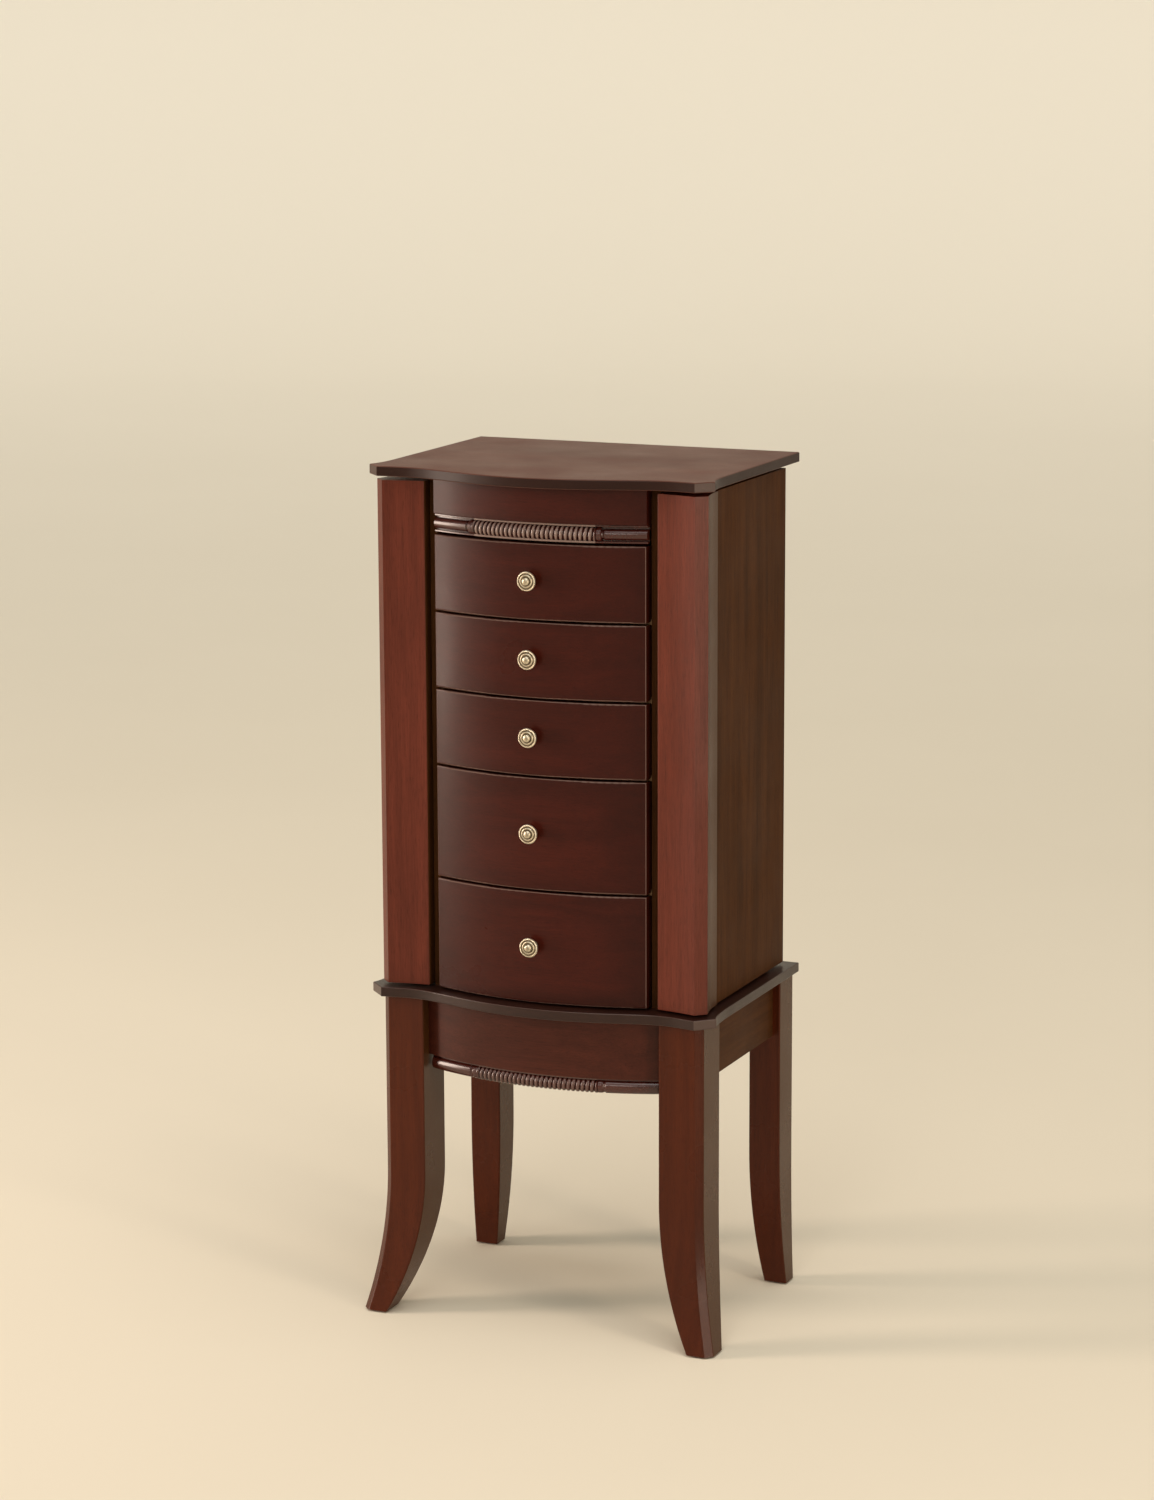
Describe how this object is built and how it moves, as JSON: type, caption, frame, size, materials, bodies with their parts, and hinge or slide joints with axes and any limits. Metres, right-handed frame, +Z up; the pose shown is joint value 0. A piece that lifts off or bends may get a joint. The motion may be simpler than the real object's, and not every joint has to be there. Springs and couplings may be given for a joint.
{
  "type": "jewelry armoire",
  "caption": "Free-standing jewelry armoire with bow-fronted drawers, swinging necklace side doors, a lift-up mirror lid over a lined tray, rope mouldings and sabre legs.",
  "frame": {"origin": "on the floor, under the middle of the whole object's box", "axes": "+X to the object's right as seen from the front, +Y to its back, +Z up; the drawers open towards -Y"},
  "size_m": [0.427, 0.3178, 0.965],
  "materials": {
    "stained_wood": "satin",
    "raw_wood": "matte",
    "box_wood": "matte",
    "felt": "matte",
    "velvet": "matte",
    "pocket_cloth": "matte",
    "knob_brass": "satin",
    "hinge_brass": "satin",
    "zinc_steel": "satin",
    "glide_plastic": "matte",
    "catch_plastic": "matte",
    "mirror_glass": "gloss"
  },
  "bodies": {
    "stand_and_carcass": {"leg_front_left": "stained_wood", "leg_front_right": "stained_wood", "leg_back_left": "stained_wood", "leg_back_right": "stained_wood", "floor_glides": "glide_plastic", "front_apron": "stained_wood", "side_apron_left": "stained_wood", "side_apron_right": "stained_wood", "back_apron": "stained_wood", "apron_rope_moulding": "stained_wood", "corner_blocks": "raw_wood", "stand_screws": "zinc_steel", "base_board": "stained_wood", "carcass_side_left": "stained_wood", "carcass_side_right": "stained_wood", "carcass_back": "stained_wood", "hinge_rail": "stained_wood", "drawer_dividers": "raw_wood", "upper_front_panel": "stained_wood", "upper_rope_moulding": "stained_wood", "tray_floor": "raw_wood", "tray_lining": "felt", "tray_dividers": "felt", "ring_rolls": "velvet", "door_catches": "catch_plastic", "door_hinge_fixed_leaves": "hinge_brass", "lid_hinge_fixed_leaves": "hinge_brass"},
    "lid": {"lid_board": "stained_wood", "mirror_frame": "stained_wood", "mirror_glass": "mirror_glass", "lid_hinge_leaves": "hinge_brass"},
    "door_left": {"door_post_left": "stained_wood", "door_panel_left": "stained_wood", "door_frame_left": "stained_wood", "necklace_hooks_left": "hinge_brass", "necklace_pocket_left": "pocket_cloth", "door_hinge_leaves_left": "hinge_brass", "door_strike_left": "zinc_steel"},
    "door_right": {"door_post_right": "stained_wood", "door_panel_right": "stained_wood", "door_frame_right": "stained_wood", "necklace_hooks_right": "hinge_brass", "necklace_pocket_right": "pocket_cloth", "door_hinge_leaves_right": "hinge_brass", "door_strike_right": "zinc_steel"},
    "drawer_1": {"drawer_1_front": "stained_wood", "drawer_1_box": "box_wood", "drawer_1_knob": "knob_brass"},
    "drawer_2": {"drawer_2_front": "stained_wood", "drawer_2_box": "box_wood", "drawer_2_knob": "knob_brass"},
    "drawer_3": {"drawer_3_front": "stained_wood", "drawer_3_box": "box_wood", "drawer_3_knob": "knob_brass"},
    "drawer_4": {"drawer_4_front": "stained_wood", "drawer_4_box": "box_wood", "drawer_4_knob": "knob_brass"},
    "drawer_5": {"drawer_5_front": "stained_wood", "drawer_5_box": "box_wood", "drawer_5_knob": "knob_brass"}
  },
  "joints": [
    {"name": "lid_hinge", "type": "hinge", "parent": "stand_and_carcass", "child": "lid", "pos_m": [0, 0.1565, 0.9513], "axis": [-1, 0, 0], "range_deg": [0, 95]},
    {"name": "door_left_hinge", "type": "hinge", "parent": "stand_and_carcass", "child": "door_left", "pos_m": [-0.16975, 0.1402, 0.665], "axis": [0, 0, -1], "range_deg": [0, 110]},
    {"name": "door_right_hinge", "type": "hinge", "parent": "stand_and_carcass", "child": "door_right", "pos_m": [0.16975, 0.1402, 0.665], "axis": [0, 0, 1], "range_deg": [0, 110]},
    {"name": "drawer_1_slide", "type": "slide", "parent": "stand_and_carcass", "child": "drawer_1", "axis": [0, -1, 0], "range_m": [0, 0.15]},
    {"name": "drawer_2_slide", "type": "slide", "parent": "stand_and_carcass", "child": "drawer_2", "axis": [0, -1, 0], "range_m": [0, 0.15]},
    {"name": "drawer_3_slide", "type": "slide", "parent": "stand_and_carcass", "child": "drawer_3", "axis": [0, -1, 0], "range_m": [0, 0.15]},
    {"name": "drawer_4_slide", "type": "slide", "parent": "stand_and_carcass", "child": "drawer_4", "axis": [0, -1, 0], "range_m": [0, 0.15]},
    {"name": "drawer_5_slide", "type": "slide", "parent": "stand_and_carcass", "child": "drawer_5", "axis": [0, -1, 0], "range_m": [0, 0.15]}
  ]
}
